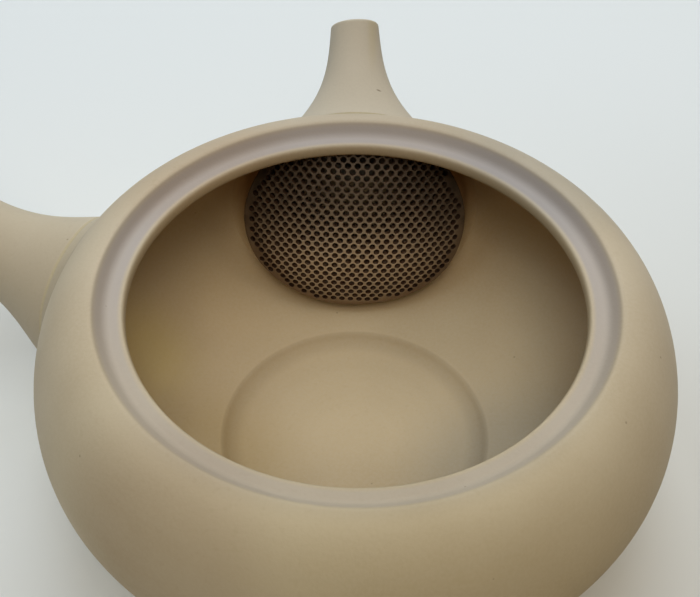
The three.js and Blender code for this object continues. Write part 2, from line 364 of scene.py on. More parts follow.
def rim_outline():
    seat = RIM_HEIGHT - SEAT_DEPTH
    lip = seat - LIP_DEPTH
    rim_top = (RIM_RADIUS + RIM_EDGE, RIM_HEIGHT)
    band_top = (RIM_RADIUS - BAND_EDGE, RIM_HEIGHT - BAND_EDGE)
    band_foot = (SEAT_RADIUS + BAND_FOOT, seat + BAND_FOOT)
    seat_end = (SEAT_RADIUS - SEAT_WIDTH, seat)
    return chain(
        bend(rim_top, (RIM_RADIUS, RIM_HEIGHT), band_top),
        bend(band_foot, (SEAT_RADIUS, seat), (SEAT_RADIUS - BAND_FOOT, seat)),
        seat_end,
        bend(seat_end, (MOUTH_RADIUS, seat), (MOUTH_RADIUS, lip)),
        bend((MOUTH_RADIUS, lip), (MOUTH_RADIUS, ROOF_HEIGHT), (MOUTH_RADIUS + ROOF_REACH, ROOF_HEIGHT)),
    )


def well_outline():
    brink = (WELL_RADIUS - WELL_SLOPE / 8, FLOOR_HEIGHT - WELL_DEPTH / 4)
    corner = (WELL_RADIUS - WELL_SLOPE / 3, BASE_THICKNESS)
    level = WELL_RADIUS - WELL_SLOPE
    return chain(
        bend((WELL_RADIUS + WELL_EDGE, FLOOR_HEIGHT), (WELL_RADIUS, FLOOR_HEIGHT), brink),
        bend(brink, corner, (level, BASE_THICKNESS)),
        [(r, BASE_THICKNESS) for r in np.linspace(level, 0, WELL_POINTS)[1:]],
    )


def foot_outline():
    return chain(
        [(r, 0) for r in np.linspace(0, FOOT_RADIUS - FOOT_EDGE, FOOT_POINTS)],
        bend((FOOT_RADIUS - FOOT_EDGE, 0), (FOOT_RADIUS - FOOT_EDGE / 4, 0), (FOOT_RADIUS, FOOT_EDGE)),
    )


def distance_to(outline, points):
    """Signed distance of points from a turned outline, positive on the side away from the axis."""
    q = np.stack([np.hypot(points[..., 0], points[..., 1]), points[..., 2]], axis=-1).reshape(-1, 2)
    best = np.full(len(q), np.inf)
    sign = np.ones(len(q))
    for a, b in zip(outline[:-1], outline[1:]):
        way = b - a
        t = np.clip(((q - a) @ way) / (way @ way), 0, 1)
        off = q - a - t[:, None] * way
        d = np.hypot(*off.T)
        side = off[:, 0] * way[1] - off[:, 1] * way[0]
        closer = d < best
        best[closer] = d[closer]
        sign[closer] = np.where(side[closer] >= 0, 1, -1)
    return (best * sign).reshape(points.shape[:-1])


OUTER = outer_face()
INNER = inner_face()[::-1]
BOWL = chain(INNER, rim_outline()[::-1])


def stop_at(rings, depth, count):
    """Rings of a tube cut where each of its lines comes within a distance of the pot's outer face."""
    off = distance_to(OUTER, rings)
    lines = []
    for j in range(rings.shape[1]):
        below = np.nonzero(off[:, j] < depth)[0]
        i = below[0] if len(below) else len(off) - 1
        f = (off[i - 1, j] - depth) / (off[i - 1, j] - off[i, j]) if len(below) else 1
        along = np.linspace(0, i - 1 + f, count)
        low = np.minimum(along.astype(int), len(off) - 2)
        part = (along - low)[:, None]
        lines.append(rings[low, j] * (1 - part) + rings[low + 1, j] * part)
    return np.stack(lines, axis=1)


def wall_normal(points):
    """Unit directions straight out of the pot's outer face at points near it."""
    slopes = []
    for step in SLOPE_STEP * np.eye(3):
        slopes.append(distance_to(OUTER, points + step) - distance_to(OUTER, points - step))
    return unit(np.stack(slopes, axis=-1))


def fillet(start, away, seam_off):
    """Rings of clay smoothed from a seam onto the pot's outer face, the last one sunk into it."""
    left = distance_to(OUTER, start)[:, None]
    rings = []
    for spread, off in SEAM_FILLET:
        ring = start + spread * seam_off * away
        rings.append(ring - (distance_to(OUTER, ring)[:, None] - off * left) * wall_normal(ring))
    return [*rings, rings[-1] - SEAM_SINK * wall_normal(rings[-1])]


def pressed_on(name, outside, inside, middle, seam_off):
    """Hollow tube pressed onto the pot. outside and inside run from the end to the root.

    A groove marks where it ends, and a fillet runs on from there to the wall. The faces of the groove have
    the piece's second material, and those of its inside the third.
    """
    skin = stop_at(outside, seam_off, OUTSIDE_RINGS)
    away = unit(skin[-1] - middle(skin[-1]))
    toward = unit(skin[-1] - skin[-2])
    groove = skin[-1] - SEAM_DEPTH * away + SEAM_DEEPEST * SEAM_WIDTH * toward
    seam_end = skin[-1] + SEAM_WIDTH * toward
    bore = stop_at(inside, -2 * SEAM_SINK, INSIDE_RINGS)[::-1]
    rings = [*skin, groove, seam_end, *fillet(seam_end, away, seam_off), *bore]
    rows, columns = len(rings), TUBE_SIDES
    faces = grid_faces(rows, columns, closed=True)
    piece = new_object(name, np.vstack(rings), faces)
    marks = np.zeros(len(faces), np.int32)
    marks[(len(skin) - 1) * columns:(len(skin) + 1) * columns] = 1
    marks[(rows - len(bore)) * columns:(rows - 1) * columns] = 2
    piece.data.polygons.foreach_set("material_index", marks)
    return piece


# Spout and handle
def spout_line():
    """Points of the spout's middle line in the plane x = 0, and how far along it each is."""
    start = np.array([BELLY_RADIUS - SPOUT_ROOT_INSET, SPOUT_ROOT_HEIGHT])
    corner = np.array([BELLY_RADIUS + SPOUT_BEND_REACH, SPOUT_BEND_HEIGHT])
    end = np.array([BELLY_RADIUS + SPOUT_REACH, RIM_HEIGHT + SPOUT_TIP_RISE])
    points = bend(start, corner, end, SPOUT_LINE_STEPS)
    along = np.concatenate([[0], np.cumsum(np.hypot(*np.diff(points, axis=0).T))])
    return points, along


SPOUT_POINTS, SPOUT_ALONG = spout_line()
SPOUT_LENGTH = SPOUT_ALONG[-1]


def spout_at(distance):
    """Reach and height of the spout's middle line at distances along it from the root."""
    at = np.clip(distance, 0, SPOUT_LENGTH)
    return np.array([np.interp(at, SPOUT_ALONG, SPOUT_POINTS[:, i]) for i in (0, 1)])


def spout_rings(profile):
    """Rings of the bent tube from (radius, distance from the root) points."""
    angles = full_turn(TUBE_SIDES)
    radius, at = profile[:, 0, None], np.clip(profile[:, 1], 0, SPOUT_LENGTH)
    y, z = spout_at(at)[..., None]
    way = spout_at(at + SLOPE_STEP) - spout_at(at - SLOPE_STEP)
    ty, tz = (way / np.hypot(*way))[..., None]
    spread = (SPOUT_ROOT_SPREAD + (1 - SPOUT_ROOT_SPREAD) * at / SPOUT_LENGTH)[:, None]
    part = at[:, None] / SPOUT_LENGTH
    x = -radius * np.cos(angles) * spread
    up = radius * np.sin(angles)
    lean = (0.5 * SPOUT_TIP_SLANT * x / SPOUT_TIP_RADIUS - SPOUT_TIP_DROP) * part ** SPOUT_TIP_POWER
    shift = SPOUT_ROOT_SHIFT * (1 - part)
    rings = np.stack([x + shift, y - up * tz + lean * ty, z + up * ty + lean * tz], axis=2)
    return turn_about_z(rings, SPOUT_TURN)


def spout_side(root_inset, tip_inset):
    """The spout's face from its tip to its root, set in from the outer one by each inset."""
    return swell(
        (SPOUT_ROOT_RADIUS - root_inset, 0),
        (SPOUT_ROOT_PULL, (SPOUT_TIP_RADIUS - tip_inset, SPOUT_LENGTH - SPOUT_TIP_WALL / 2), SPOUT_TIP_PULL),
        steps=SPOUT_SIDE_STEPS,
    )[::-1]


def spout_middle(points):
    """Nearest points of the spout's middle line."""
    line = turn_about_z(np.stack([np.zeros(len(SPOUT_POINTS)), *SPOUT_POINTS.T], axis=1), SPOUT_TURN)
    near = np.linalg.norm(points[:, None] - line[None], axis=2).argmin(axis=1)
    return line[near]


def tip_round(side):
    """Quarter circle over the spout's lip, from its crest to its outer side (1) or its inner side (-1)."""
    half = SPOUT_TIP_WALL / 2
    crest = SPOUT_TIP_RADIUS - half
    level = SPOUT_LENGTH - half
    turns = np.linspace(math.pi / 2, 0, SPOUT_TIP_POINTS)
    return [(crest + side * half * math.cos(a), level + half * math.sin(a)) for a in turns]


def make_spout():
    outside = spout_rings(chain(tip_round(1), spout_side(0, 0)))
    inside = spout_rings(chain(tip_round(-1)[1:], spout_side(SPOUT_WALL, SPOUT_TIP_WALL)))
    return pressed_on("spout_piece", outside, inside, spout_middle, SPOUT_SEAM_OFF)


def handle_axis():
    """Where the handle's axis meets the pot's face, its direction, and two directions square to it."""
    along = direction(90 - HANDLE_TURN, HANDLE_TILT)
    side = unit(np.cross([0, 0, 1], along))
    reach = np.interp(HANDLE_HEIGHT, OUTER[:, 1], OUTER[:, 0])
    root = direction(90 - HANDLE_BEARING, 0) * reach + np.array([0, 0, HANDLE_HEIGHT])
    return root, along, side, np.cross(along, side)


def handle_rings(profile):
    """Rings round the handle's straight axis from (radius, distance from the wall) points."""
    root, along, side, up = handle_axis()
    angles = full_turn(TUBE_SIDES)
    around = np.cos(angles)[:, None] * side + np.sin(angles)[:, None] * up
    return root + profile[:, 1, None, None] * along + profile[:, 0, None, None] * around


def handle_side(inset):
    """The handle's face from its end to its heel inside the pot's wall, set in from the outer one."""
    return swell(
        (HANDLE_HEEL_RADIUS - inset, -HANDLE_HEEL_INSET),
        (HANDLE_HEEL_PULL, (HANDLE_ROOT_RADIUS - inset, -HANDLE_FLARE_START), HANDLE_FLARE_IN_PULL),
        (HANDLE_ROOT_PULL, (HANDLE_WAIST_RADIUS - inset, HANDLE_WAIST_AT), HANDLE_WAIST_PULL),
        (HANDLE_WAIST_PULL, (HANDLE_END_RADIUS - inset, HANDLE_LENGTH - HANDLE_END_ROUND), HANDLE_END_PULL),
        steps=HANDLE_SIDE_STEPS,
    )[::-1]


def handle_middle(points):
    """Nearest points of the handle's axis."""
    root, along, _, _ = handle_axis()
    return root + ((points - root) @ along)[:, None] * along


def end_round(face):
    """Rounding of the handle's open end, from its crest to a face's radius."""
    crest = (HANDLE_END_RADIUS - HANDLE_WALL / 2, HANDLE_LENGTH)
    return bend(crest, (face, HANDLE_LENGTH), (face, HANDLE_LENGTH - HANDLE_END_ROUND))


def make_handle():
    outside = handle_rings(chain(end_round(HANDLE_END_RADIUS), handle_side(0)))
    inner_round = end_round(HANDLE_END_RADIUS - HANDLE_WALL)
    inside = handle_rings(chain(inner_round[1:], handle_side(HANDLE_WALL)))
    return pressed_on("side_handle_piece", outside, inside, handle_middle, HANDLE_SEAM_OFF)


def cut(obj, cutter):
    """Cuts one closed object out of another, and removes the cutter."""
    modifier = obj.modifiers.new("cut", "BOOLEAN")
    modifier.operation = "DIFFERENCE"
    modifier.solver = "EXACT"
    modifier.object = cutter
    bpy.context.view_layer.update()
    result = bpy.data.meshes.new_from_object(obj.evaluated_get(bpy.context.evaluated_depsgraph_get()))
    obj.modifiers.clear()
    obj.data = result
    result.set_sharp_from_angle(angle=SHARP_ANGLE)
    bpy.data.objects.remove(cutter)


def rod(name, centre, along, radius, length):
    """Closed cylinder for a bore."""
    sides = BORE_SIDES
    along = unit(np.array(along, float))
    side = unit(np.cross(along, [0, 0, 1] if abs(along[2]) < 0.9 else [1, 0, 0]))
    up = np.cross(along, side)
    angles = full_turn(sides)
    ring = radius * (np.cos(angles)[:, None] * side + np.sin(angles)[:, None] * up)
    half = 0.5 * length * along
    vertices = np.vstack([centre - half + ring, centre + half + ring])
    faces = grid_faces(2, sides)
    faces += [list(range(sides - 1, -1, -1)), list(range(sides, 2 * sides))]
    return new_object(name, vertices, faces)


def make_pot():
    """The body, with the spout's port and the clay smoothed on round the strainer."""
    outline = chain(foot_outline(), outer_face(), rim_outline(), inner_face(), well_outline())
    pot = new_object("pot_body_piece", *turned(outline, POT_SIDES))
    here, ahead = spout_at(SPOUT_ROOT_INSET), spout_at(SPOUT_ROOT_INSET + 1)
    centre = turn_about_z(np.array([0, *here]), SPOUT_TURN)
    along = turn_about_z(np.array([0, *(ahead - here)]), SPOUT_TURN)
    cut(pot, rod("port_cutter", centre, along, PORT_RADIUS, 4 * WALL))
    join(pot, new_object("smear", *smear()))
    mark_inside(pot)
    return pot


def join(obj, other):
    """Adds another object's mesh to an object, and removes the other."""
    both = bmesh.new()
    both.from_mesh(obj.data)
    both.from_mesh(other.data)
    both.to_mesh(obj.data)
    both.free()
    obj.data.set_sharp_from_angle(angle=SHARP_ANGLE)
    bpy.data.objects.remove(other)


def mark_inside(pot):
    """Gives the faces of the bowl, under the lip and over the floor, the piece's second material."""
    faces = pot.data.polygons
    centres = np.empty(3 * len(faces), np.float32)
    faces.foreach_get("center", centres)
    centres = centres.reshape(-1, 3).astype(float) / MM
    deep = distance_to(OUTER, centres) < -WALL / 2
    inside = deep & (centres[:, 2] < ROOF_HEIGHT + RIM_THICKNESS / 4) & (centres[:, 2] > BASE_THICKNESS / 2)
    faces.foreach_set("material_index", inside.astype(np.int32))


# Strainer
def strainer_frame():
    """Sphere's middle, the cap's axis, and the level and the upward directions square to it."""
    axis = turn_about_z(direction(180, STRAINER_TILT), STRAINER_TURN)
    ring = turn_about_z(np.array([0, STRAINER_DEPTH_AT, STRAINER_HEIGHT]), STRAINER_TURN)
    back = math.sqrt(STRAINER_CURVE ** 2 - STRAINER_RADIUS ** 2)
    side = unit(np.cross([0, 0, 1], axis))
    return ring - back * axis, axis, side, np.cross(axis, side)


CAP_MIDDLE, CAP_AXIS, CAP_SIDE, CAP_UP = strainer_frame()


def on_cap(normals, depth=0):
    """Points at a depth under the cap's outer face, at unit normals of its sphere."""
    return CAP_MIDDLE + (STRAINER_CURVE - depth) * normals


def net_frame():
    """Directions of the holes' net: out of the sphere at its middle, across and up."""
    el, az = math.radians(NET_TILT), math.radians(NET_TURN)
    out = np.array([math.sin(az) * math.cos(el), -math.cos(az) * math.cos(el), math.sin(el)])
    across = np.array([math.cos(az), math.sin(az), 0])
    up = np.cross(out, across)
    return out, across, up * np.sign(up[2])


def net_to_normal(points):
    """Unit normals of the sphere at points of the wrapped net."""
    out, across, up = net_frame()
    r = np.hypot(*points.T)[:, None] + 1e-9
    angle = r / STRAINER_CURVE
    level = (points[:, 0, None] * across + points[:, 1, None] * up) / r
    return np.sin(angle) * level + np.cos(angle) * out


def normal_to_net(normals):
    """Points of the wrapped net at unit normals of the sphere."""
    out, across, up = net_frame()
    angle = np.arccos(np.clip(normals @ out, -1, 1))[:, None]
    level = unit(np.stack([normals @ across, normals @ up], axis=1) + 1e-12)
    return STRAINER_CURVE * angle * level


def strainer_border():
    """Normals round the cap's edge, drawn in where the cap would pass through the pot's shoulder."""
    angles = full_turn(BORDER_POINTS)
    bearings, radii = np.array(STRAINER_OUTLINE, float).T
    radius = np.interp(np.degrees(angles), bearings, radii, period=360) - STRAINER_SHOULDER
    for _ in range(OUTLINE_SMOOTHINGS):
        radius = (np.roll(radius, 1) + 2 * radius + np.roll(radius, -1)) / 4
    edge = np.arcsin(radius / STRAINER_CURVE)
    around = np.cos(angles)[:, None] * CAP_SIDE + np.sin(angles)[:, None] * CAP_UP
    tilts = np.linspace(0, 1, TILT_POINTS)[:, None, None] * edge[:, None]
    normals = np.cos(tilts) * CAP_AXIS + np.sin(tilts) * around
    clear = distance_to(BOWL, on_cap(normals)) < STRAINER_BURY
    clear[0] = True
    last = np.where(clear.all(axis=0), len(tilts), clear.argmin(axis=0)) - 1
    return normals[last, np.arange(BORDER_POINTS)]


CAP_EDGE = strainer_border()
CAP_OUTWARD = unit(CAP_EDGE - (CAP_EDGE @ CAP_AXIS)[:, None] * CAP_AXIS)
HOLE_RING = np.stack([np.cos(full_turn(HOLE_SIDES)), np.sin(full_turn(HOLE_SIDES))], axis=1)


def net_points():
    """Points of the whole net, in its staggered rows, as far as it can be wrapped."""
    row, column = np.mgrid[-NET_ROWS:NET_ROWS + 1, -NET_COLUMNS:NET_COLUMNS + 1].reshape(2, -1)
    x = (column + 0.5 * row) * HOLE_PITCH
    points = np.stack([x, -row * HOLE_ROW_PITCH, 0 * x], axis=1)
    points = turn_about_z(points, NET_ROLL)[:, :2] + NET_OFFSET
    return points[np.hypot(*points.T) < NET_REACH * STRAINER_CURVE]


def cap_bearing(normals):
    """Bearings of normals round the cap's axis."""
    return np.arctan2(normals @ CAP_UP, normals @ CAP_SIDE)


def hole_centres(border):
    """Net points of the holes that lie inside the cap's border."""
    centres = net_points()
    normals = net_to_normal(centres)
    edge_tilts = np.arccos(CAP_EDGE @ CAP_AXIS)
    limit = np.interp(cap_bearing(normals), cap_bearing(CAP_EDGE), edge_tilts, period=2 * math.pi)
    inside = np.arccos(np.clip(normals @ CAP_AXIS, -1, 1)) < limit
    near = np.linalg.norm(centres[:, None] - border[None], axis=2).min(axis=1)
    return centres[inside & (near > HOLE_RADIUS + HOLE_CHAMFER + STRAINER_BORDER)]


def pierced_net(border, centres):
    """Points and triangles of the net between its holes, and which point each given one became."""
    wide = HOLE_RADIUS + HOLE_CHAMFER
    points = [Vector(p) for p in border]
    edges = [(i, (i + 1) % len(border)) for i in range(len(border))]
    for centre in centres:
        first = len(points)
        points += [Vector(centre + wide * r) for r in HOLE_RING]
        edges += [(first + i, first + (i + 1) % HOLE_SIDES) for i in range(HOLE_SIDES)]
    flat, _, triangles, origin, _, _ = delaunay_2d_cdt(points, edges, [], 1, SAME_NET_POINT)
    flat = np.array([tuple(p) for p in flat])
    middles = np.array([flat[list(t)].mean(axis=0) for t in triangles])
    reach = wide * math.cos(math.pi / HOLE_SIDES) * HOLE_FILL
    solid = np.ones(len(triangles), bool)
    for centre in centres:
        solid &= np.linalg.norm(middles - centre, axis=1) > reach
    triangles = [list(t) for t, kept in zip(triangles, solid) if kept]
    return flat, triangles, {i: j for j, source in enumerate(origin) for i in source}


def hole_walls(own, mouth, tail):
    """Faces of one hole between its three rings of vertices, in pairs: its chamfer and its bore."""
    faces = []
    for i in range(HOLE_SIDES):
        k = (i + 1) % HOLE_SIDES
        faces.append([own[i], own[k], mouth[k], mouth[i]])
        faces.append([mouth[i], mouth[k], tail[k], tail[i]])
    return faces


def collar_rings():
    """Rings over the shoulder of the cap's edge, back into the wall, and in to its inner face."""
    shoulder = []
    for turn in np.linspace(0, math.pi / 2, SHOULDER_RINGS + 1)[1:]:
        out, down = STRAINER_SHOULDER * math.sin(turn), STRAINER_SHOULDER * (1 - math.cos(turn))
        shoulder.append(on_cap(CAP_EDGE) + out * CAP_OUTWARD - down * CAP_AXIS)
    length = landing(shoulder[-1], -CAP_AXIS, COLLAR_TRIES)
    parts = np.linspace(0, 1, COLLAR_RINGS + 1)[1:]
    collar = [shoulder[-1] - part * length * CAP_AXIS for part in parts]
    return [*shoulder, *collar, collar[-1] - STRAINER_WALL * CAP_OUTWARD]


def make_strainer():
    """Pierced cap with its collar. The walls of its holes take the piece's second material."""
    border = normal_to_net(CAP_EDGE)
    centres = hole_centres(border)
    flat, triangles, became = pierced_net(border, centres)
    normals = net_to_normal(flat)
    top, under = on_cap(normals), on_cap(normals, STRAINER_WALL)
    a, b, c = (top[i] for i in triangles[0])
    if np.cross(b - a, c - a) @ normals[triangles[0][0]] < 0:
        triangles = [t[::-1] for t in triangles]
    count = len(flat)
    faces = triangles + [[count + i for i in t[::-1]] for t in triangles]
    marks = [0] * len(faces)
    vertices = [top, under]
    total = 2 * count
    for h, centre in enumerate(centres):
        own = [became[len(border) + h * HOLE_SIDES + i] for i in range(HOLE_SIDES)]
        vertices.append(on_cap(net_to_normal(centre + HOLE_RADIUS * HOLE_RING), HOLE_CHAMFER))
        under[own] = on_cap(net_to_normal(centre + (HOLE_RADIUS - HOLE_TAPER) * HOLE_RING), STRAINER_WALL)
        faces += hole_walls(own, range(total, total + HOLE_SIDES), [count + i for i in own])
        marks += [0, 1] * HOLE_SIDES
        total += HOLE_SIDES
    loops = [[became[i] for i in range(BORDER_POINTS)]]
    for ring in collar_rings():
        vertices.append(ring)
        loops.append(range(total, total + BORDER_POINTS))
        total += BORDER_POINTS
    loops.append([count + i for i in loops[0]])
    for j in range(BORDER_POINTS):
        k = (j + 1) % BORDER_POINTS
        faces += [[above[k], above[j], below[j], below[k]] for above, below in zip(loops[:-1], loops[1:])]
    marks += [0] * (len(faces) - len(marks))
    strainer = new_object("strainer_piece", np.vstack(vertices), faces, sharp=STRAINER_SHARP_ANGLE)
    strainer.data.polygons.foreach_set("material_index", marks)
    return strainer


def landing(start, way, tries):
    """How far points run along their ways until they are sunk in the pot's wall from the inside."""
    steps = np.linspace(SMEAR_SINK, SMEAR_REACH, tries)
    sunk = distance_to(INNER, start + steps[:, None, None] * way) > SMEAR_SINK
    return steps[sunk.argmax(axis=0)][:, None]


def smear():
    """Ring of clay from the cap's edge down to the wall, closed behind: its vertices and faces."""
    start = CAP_MIDDLE + STRAINER_CURVE * CAP_EDGE + STRAINER_SHOULDER * (CAP_OUTWARD - CAP_AXIS)
    slope = math.radians(SMEAR_SLOPE)
    way = math.cos(slope) * CAP_OUTWARD - math.sin(slope) * CAP_AXIS
    out, back = landing(start, way, SMEAR_TRIES), landing(start, -CAP_AXIS, SMEAR_TRIES)
    t = np.linspace(0, 1, SMEAR_POINTS)[:, None, None]
    lean = start - SMEAR_LEAN * back * CAP_AXIS
    foot = start + out * way
    rings = list((1 - t) ** 2 * start + 2 * t * (1 - t) * lean + t * t * foot)
    rings.append(start - back * CAP_AXIS)
    return np.vstack(rings), grid_faces(len(rings), len(start), closed=True)


# Lid and knob, where the frame has them
LID_CENTRE = (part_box("lid")[0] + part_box("lid")[1]) / (2 * MM)
LID_RADIUS = SEAT_RADIUS - LID_SEAT_CLEARANCE
SPIGOT_RADIUS = MOUTH_RADIUS - SPIGOT_CLEARANCE
LID_TOP = SPIGOT_DEPTH + LID_THICKNESS + LID_DOME_RISE


def at_lid(vertices):
    """Vertices made round the pot's axis, moved to the lid's."""
    return vertices + np.array([LID_CENTRE.x, LID_CENTRE.y, 0])


def make_lid():
    hollow_edge = (SPIGOT_RADIUS - SPIGOT_WALL, SPIGOT_DEPTH - SPIGOT_TAPER)
    inner_foot = SPIGOT_RADIUS - SPIGOT_WALL + SPIGOT_TAPER
    outer_foot = SPIGOT_RADIUS - SPIGOT_TAPER
    spigot_top = (SPIGOT_RADIUS, SPIGOT_DEPTH)
    ledge_end = (SPIGOT_RADIUS + SPIGOT_EDGE, SPIGOT_DEPTH)
    brim = SPIGOT_DEPTH + LID_THICKNESS
    edge_top = (LID_RADIUS - LID_EDGE, brim)
    outline = chain(
        swell((0, LID_TOP - LID_THICKNESS), (LID_HOLLOW_PULL, hollow_edge, LID_HOLLOW_EDGE_PULL)),
        bend((inner_foot, SPIGOT_EDGE), (inner_foot, 0), (inner_foot + SPIGOT_EDGE, 0)),
        bend((outer_foot - SPIGOT_EDGE, 0), (outer_foot, 0), (outer_foot, SPIGOT_EDGE)),
        bend((SPIGOT_RADIUS, SPIGOT_DEPTH - SPIGOT_EDGE), spigot_top, ledge_end),
        bend((edge_top[0], SPIGOT_DEPTH), (LID_RADIUS, SPIGOT_DEPTH), (LID_RADIUS, SPIGOT_DEPTH + LID_EDGE)),
        bend((LID_RADIUS, brim - LID_EDGE), (LID_RADIUS, brim), edge_top),
        swell(edge_top, (LID_SHOULDER_PULL, (0, LID_TOP), LID_CROWN_PULL)),
    )
    vertices, faces = turned(outline, LID_SIDES)
    lid = new_object("lid_piece", at_lid(vertices), faces)
    vent_at = at_lid(np.array([VENT_OFFSET, 0, LID_TOP - LID_THICKNESS]))
    cut(lid, rod("vent_cutter", vent_at, (0, 0, 1), VENT_RADIUS, 4 * LID_THICKNESS))
    return lid


def make_knob():
    foot = KNOB_NECK_RADIUS + KNOB_FILLET
    neck = (KNOB_NECK_RADIUS, LID_TOP + KNOB_NECK_HEIGHT)
    outline = chain(
        (0, LID_TOP - LID_THICKNESS / 2),
        (foot, LID_TOP - LID_THICKNESS / 2),
        (foot, LID_TOP - KNOB_SINK),
        bend((foot, LID_TOP), (KNOB_NECK_RADIUS, LID_TOP + KNOB_FILLET / 4), neck),
        swell(
            neck,
            (KNOB_NECK_PULL, (KNOB_RADIUS, LID_TOP + KNOB_WIDEST_AT), KNOB_UNDER_PULL),
            (KNOB_SIDE_PULL, (0, LID_TOP + KNOB_HEIGHT), KNOB_TOP_PULL),
        ),
    )
    vertices, faces = turned(outline, TUBE_SIDES)
    return new_object("lid_knob_piece", at_lid(vertices), faces)


# Materials
def srgb(*screen):
    """Linear colour from 0 to 255 screen values."""
    shares = [value / 255 for value in screen]
    return (*(s / 12.92 if s <= 0.04045 else ((s + 0.055) / 1.055) ** 2.4 for s in shares), 1)


WHITE = (1, 1, 1, 1)
BACKDROP = srgb(233, 238, 241)
# Sheet's colours near the viewer on the left and on the right, and far off: painted shade, darker near the
# viewer and most of all on the right
SHEET_LEFT = srgb(232, 234, 232)
SHEET_RIGHT = srgb(205, 205, 200)
SHEET_FAR = srgb(233, 240, 245)
CLAY_PALE = srgb(196, 185, 162)
CLAY_DEEP = srgb(184, 171, 146)
BOWL_PALE = srgb(200, 183, 150)
BOWL_DEEP = srgb(188, 170, 137)
GROUND_CLAY = srgb(174, 168, 168)
SAND = srgb(205, 196, 176)
# Dark brown of the specks and the scratch, and of painted shade at the band's edge and on the well's slope
SPECK_AND_SHADE_BROWN = srgb(96, 76, 54)
OLIVE = srgb(222, 204, 128)
STREAK = srgb(186, 172, 128)
# Brown of painted shade round the strainer's joint with the wall
JOINT_SHADE_BROWN = srgb(120, 92, 62)
# Painted shade on the rim's near side
NEAR_RIM_SHADE_TINT = (0.89, 0.89, 0.92, 1)
# Painted shade on the lip's inner rounding
UNDER_LIP_SHADE_TINT = (0.85, 0.79, 0.68, 1)

# Tints along a coordinate, all of them painted light and shade: its name, the two values they run between,
# and the tint at each
# Painted light on the pot: warmer and darker on the near side, a little paler at the sides
PAINTED_LIGHT_NEAR_TO_SIDES = ("Y", -62, 0, (0.97, 0.92, 0.77, 1), (1.04, 1.03, 1.04, 1))
# Painted shade on the pot's far side
PAINTED_SHADE_SIDES_TO_FAR = ("Y", 5, 42, WHITE, (0.88, 0.87, 0.88, 1))
# Painted shade in the bowl, darker and browner up towards the lip, under the shoulder
PAINTED_SHADE_FLOOR_TO_LIP = ("Z", 16, 38, WHITE, (0.69, 0.52, 0.36, 1))
# Painted shade on the bowl's right wall
PAINTED_SHADE_BOWL_RIGHT = ("X", 34, 44, WHITE, (0.94, 0.88, 0.82, 1))
# Painted shade on the handle, darkest on its near side and a little over all
PAINTED_SHADE_UNDER_HANDLE = ("Y", 4, 24, (0.82, 0.8, 0.78, 1), (0.94, 0.94, 0.96, 1))

# Tints in patches, painted light and shade: the place and the tint of each, and how far off it starts to fade
# and is gone
# Painted warm light and shade on the bowl's near left wall, and cool on its near right wall
PAINTED_LIGHT_NEAR_WALLS = (((-28, -9, 8), (0.86, 0.81, 0.68, 1)), ((28, -9, 8), (0.82, 0.86, 0.94, 1)))
# Painted shade on the near left shoulder, and painted cool and warm light on the far shoulders
PAINTED_LIGHT_SHOULDER_TINTS = (
    ((-27, -43, 37), (0.84, 0.8, 0.79, 1)),
    ((33, 30, 44), (0.87, 0.9, 0.94, 1)),
    ((-31, 31, 44), (0.96, 0.91, 0.86, 1)),
)
PATCH_FULL = 8
PATCH_END = 24

# Places of single marks
STAIN_PLACE = (-39, 13.6, 13)
# Lit middle of the strainer, away from which its painted shade grows
STRAINER_LIT_PLACE = (-0.4, 0, 14)
SCRATCH_PLACE = (3.7, 55.9, 43.2)
STREAK_PLACE = (2.4, 68, 50)

# Rings of colour: the distances where each starts, is full, is last full and ends
SEAT_RING = (MOUTH_RADIUS + 0.5, MOUTH_RADIUS + 1.3, RIM_RADIUS - 0.9, RIM_RADIUS + 0.1)
# Painted shade along the band's outer edge
BAND_EDGE_SHADE_RING = (SEAT_RADIUS - 0.7, RIM_RADIUS - 0.9, RIM_RADIUS - 0.3, RIM_RADIUS + 0.2)
# Painted shade on the rim's near side
NEAR_RIM_SHADE_RING = (MOUTH_RADIUS - 1, MOUTH_RADIUS, RIM_RADIUS, RIM_RADIUS + 3)
# Painted shade on the well's slope
WELL_SLOPE_SHADE_RING = (WELL_RADIUS - WELL_SLOPE, WELL_RADIUS - 1.5, WELL_RADIUS - 0.2, WELL_RADIUS + 0.3)
# Painted shade round the strainer's joint with the wall
STRAINER_JOINT_SHADE_RING = (20.4, 21.2, 21.6, 23.2)

# Marks of the rim: ring, two Y values and its strength at each, colour, and kind of mix. The seat's ground
# clay, then painted shade along the band's outer edge and on the rim's near side
RIM_MARKS = (
    (SEAT_RING, -42, 20, 0.3, 0.85, GROUND_CLAY, "MIX"),
    (BAND_EDGE_SHADE_RING, -42, 0, 0.0, 0.3, SPECK_AND_SHADE_BROWN, "MIX"),
    (NEAR_RIM_SHADE_RING, -38, -15, 1.0, 0.0, NEAR_RIM_SHADE_TINT, "MULTIPLY"),
)

# Scales of the clay's and the sheet's patterns, per metre
CLOUD_SCALE = 22
GRAIN_SCALE = 1700
PIT_SCALE = 900
SPECK_SCALE = 260
LINE_SCALE = 420
FIBRE_SCALE = 600


def add(tree, kind, values=None, **settings):
    """Node with its settings, and its sockets given values or links."""
    made = tree.nodes.new(kind)
    for key, value in settings.items():
        setattr(made, key, value)
    for key, value in (values or {}).items():
        socket = made.inputs[key]
        if isinstance(value, bpy.types.NodeSocket):
            tree.links.new(value, socket)
        else:
            socket.default_value = value
    return made


def noise(tree, where, scale, detail=2.0, roughness=0.5):
    values = {"Vector": where, "Scale": scale, "Detail": detail, "Roughness": roughness}
    made = add(tree, "ShaderNodeTexNoise", values)
    return made.outputs["Factor" if "Factor" in made.outputs else "Fac"]


